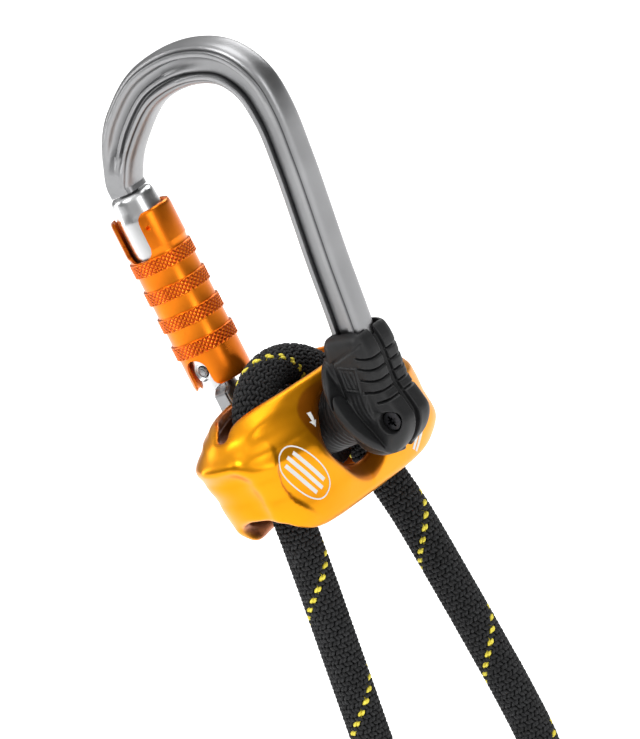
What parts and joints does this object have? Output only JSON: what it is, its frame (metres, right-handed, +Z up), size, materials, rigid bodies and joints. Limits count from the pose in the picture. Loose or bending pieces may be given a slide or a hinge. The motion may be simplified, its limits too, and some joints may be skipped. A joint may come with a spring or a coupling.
{
  "type": "rope adjuster with locking carabiner",
  "caption": "Progress-capture rope adjuster: a forged ring rocking on a spool clamped to an auto-locking carabiner, with a braided rope looped through it.",
  "frame": {"origin": "inside of the carabiner's bow, where the device hangs", "axes": "+Z up from the spool to the bow, +X from the gate to the spine, the carabiner in the XZ plane"},
  "size_m": [0.0782, 0.0792, 0.2626],
  "materials": {
    "forged": "satin grey anodised forging",
    "gate": "bright polished",
    "steel": "bright drawn",
    "sleeve": "orange anodised, knurled bands",
    "body": "gold anodised forging",
    "shell": "fine moulded texture",
    "cover": "moulded, ribbed",
    "drum": "black anodised, turned",
    "screw": "black zinc",
    "insert": "turned",
    "rope": "braided black sheath with a yellow tracer"
  },
  "bodies": {
    "carabiner": {"carabiner_frame": "forged", "hinge_pin": "steel", "shell_left": "shell", "shell_right": "shell", "shell_screw": "screw", "shell_insert": "insert", "drum_half_left": "drum", "drum_half_right": "drum", "rope_loop": "rope", "load_strand": "rope", "free_strand": "rope", "load_end_cover": "cover", "load_eye": "rope", "free_end_cover": "cover", "free_end_fold": "rope"},
    "gate": {"gate_barrel": "gate", "gate_plunger": "steel", "gate_spring": "steel", "sleeve_spring": "steel"},
    "guide_ring": {"sleeve_guide_ring": "steel"},
    "sleeve": {"locking_sleeve": "sleeve"},
    "adjuster": {"adjuster_body": "body"}
  },
  "joints": [
    {"name": "gate_swing", "type": "hinge", "parent": "carabiner", "child": "gate", "pos_m": [-0.0278, 0, -0.0799], "axis": [0, 1, 0], "range_deg": [0, 22], "stiffness_Nm_per_rad": 0.15, "springref_deg": -8.59},
    {"name": "sleeve_lift", "type": "slide", "parent": "gate", "child": "guide_ring", "axis": [-0.1736, 0, 0.9848], "range_m": [0, 0.003], "stiffness_N_per_m": 400, "springref_m": -0.001, "deforming": ["sleeve_spring"]},
    {"name": "sleeve_turn", "type": "hinge", "parent": "guide_ring", "child": "sleeve", "pos_m": [-0.0278, 0, -0.0799], "axis": [0.1736, 0, -0.9848], "range_deg": [0, 90], "stiffness_Nm_per_rad": 0.02, "springref_deg": -11.46},
    {"name": "adjuster_tilt", "type": "hinge", "parent": "carabiner", "child": "adjuster", "pos_m": [-0.0058, 0, -0.1013], "axis": [0.9711, 0, 0.2385], "range_deg": [-12, 12]}
  ]
}
